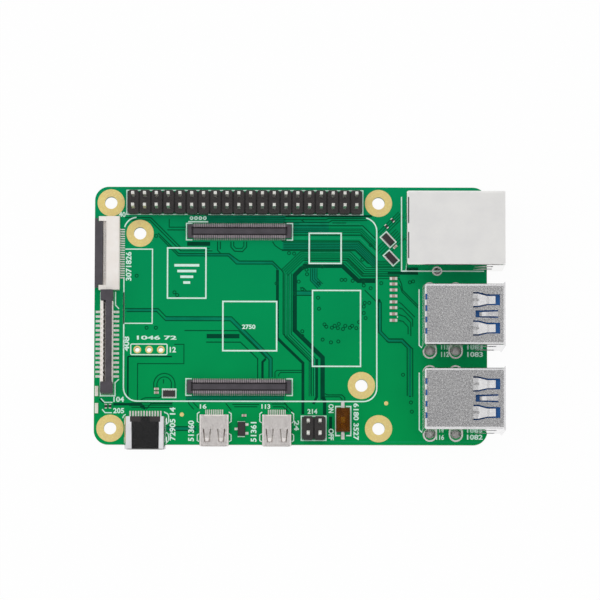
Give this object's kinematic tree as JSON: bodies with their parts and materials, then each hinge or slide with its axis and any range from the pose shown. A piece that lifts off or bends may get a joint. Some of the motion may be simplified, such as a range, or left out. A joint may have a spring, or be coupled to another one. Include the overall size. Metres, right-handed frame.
{
  "type": "single board computer carrier board",
  "caption": "Green carrier board with pin header, network jack, stacked data ports, power and video ports, ribbon connectors and two module connectors for a plug-in computer module.",
  "frame": {"origin": "middle of the four mounting holes, on the underside of the board", "axes": "+X towards the network jack and data ports, +Y towards the long pin header, +Z out of the component side"},
  "size_m": [0.0883, 0.0571, 0.0193],
  "materials": {
    "board": "green solder mask, semi-gloss",
    "gold": "gold plated copper",
    "black": "moulded, matt",
    "grey": "moulded, matt",
    "cream": "moulded, satin",
    "blue": "moulded, satin",
    "nickel": "nickel plated sheet, finely speckled",
    "pale_steel": "nickel plated sheet, satin",
    "tin": "bright tin plating",
    "solder": "solder, shiny",
    "lamp": "clear moulded lens",
    "amber": "polyimide film",
    "yellow": "moulded, satin",
    "ceramic": "fired ceramic"
  },
  "bodies": {
    "board": {"circuit_board": "board", "plated_pads": "gold", "pin_header_base": "black", "pin_header_pins": "tin", "jumper_header_base": "black", "jumper_header_pins": "tin", "solder_joints": "solder", "network_jack_shell": "pale_steel", "network_jack_housing": "black", "network_jack_lights": "lamp", "network_jack_contacts": "gold", "network_jack_coil_block": "black", "network_jack_leads": "tin", "upper_stack_shell": "nickel", "upper_stack_divider": "nickel", "upper_stack_moulding": "blue", "upper_stack_contacts": "gold", "lower_stack_shell": "nickel", "lower_stack_divider": "nickel", "lower_stack_moulding": "blue", "lower_stack_contacts": "gold", "power_port_shell": "pale_steel", "power_port_tongue": "black", "power_port_contacts": "tin", "left_video_port_shell": "nickel", "left_video_port_tongue": "cream", "left_video_port_contacts": "tin", "right_video_port_shell": "nickel", "right_video_port_tongue": "cream", "right_video_port_contacts": "tin", "display_connector_housing": "cream", "display_connector_contacts": "tin", "camera_connector_housing": "cream", "camera_connector_contacts": "tin", "upper_module_connector_housing": "grey", "upper_module_connector_contacts": "tin", "lower_module_connector_housing": "grey", "lower_module_connector_contacts": "tin", "mode_switch_body": "black", "mode_switch_film": "amber", "mode_switch_leads": "tin", "top_chip_bodies": "ceramic", "top_chip_caps": "tin", "small_packages": "black", "small_package_leads": "tin", "edge_lights": "lamp", "card_socket_shell": "pale_steel", "card_socket_tray": "black", "card_socket_contacts": "gold", "hub_chip": "black", "hub_chip_pads": "tin", "power_coil": "grey", "clock_crystal": "nickel", "under_packages": "black", "under_package_leads": "tin", "under_chip_bodies": "ceramic", "under_chip_caps": "tin"},
    "display_latch": {"display_connector_latch": "grey"},
    "camera_actuator": {"camera_connector_actuator": "grey"},
    "switch_knob": {"mode_switch_knob": "yellow"}
  },
  "joints": [
    {"name": "display_latch_hinge", "type": "hinge", "parent": "board", "child": "display_latch", "pos_m": [-0.031, 0.0134, 0.00285], "axis": [0, 1, 0], "range_deg": [0, 90]},
    {"name": "camera_actuator_slide", "type": "slide", "parent": "board", "child": "camera_actuator", "axis": [0, 0, 1], "range_m": [0, 0.0009]},
    {"name": "mode_switch_slide", "type": "slide", "parent": "board", "child": "switch_knob", "axis": [0, 1, 0], "range_m": [-0.0012, 0]}
  ]
}
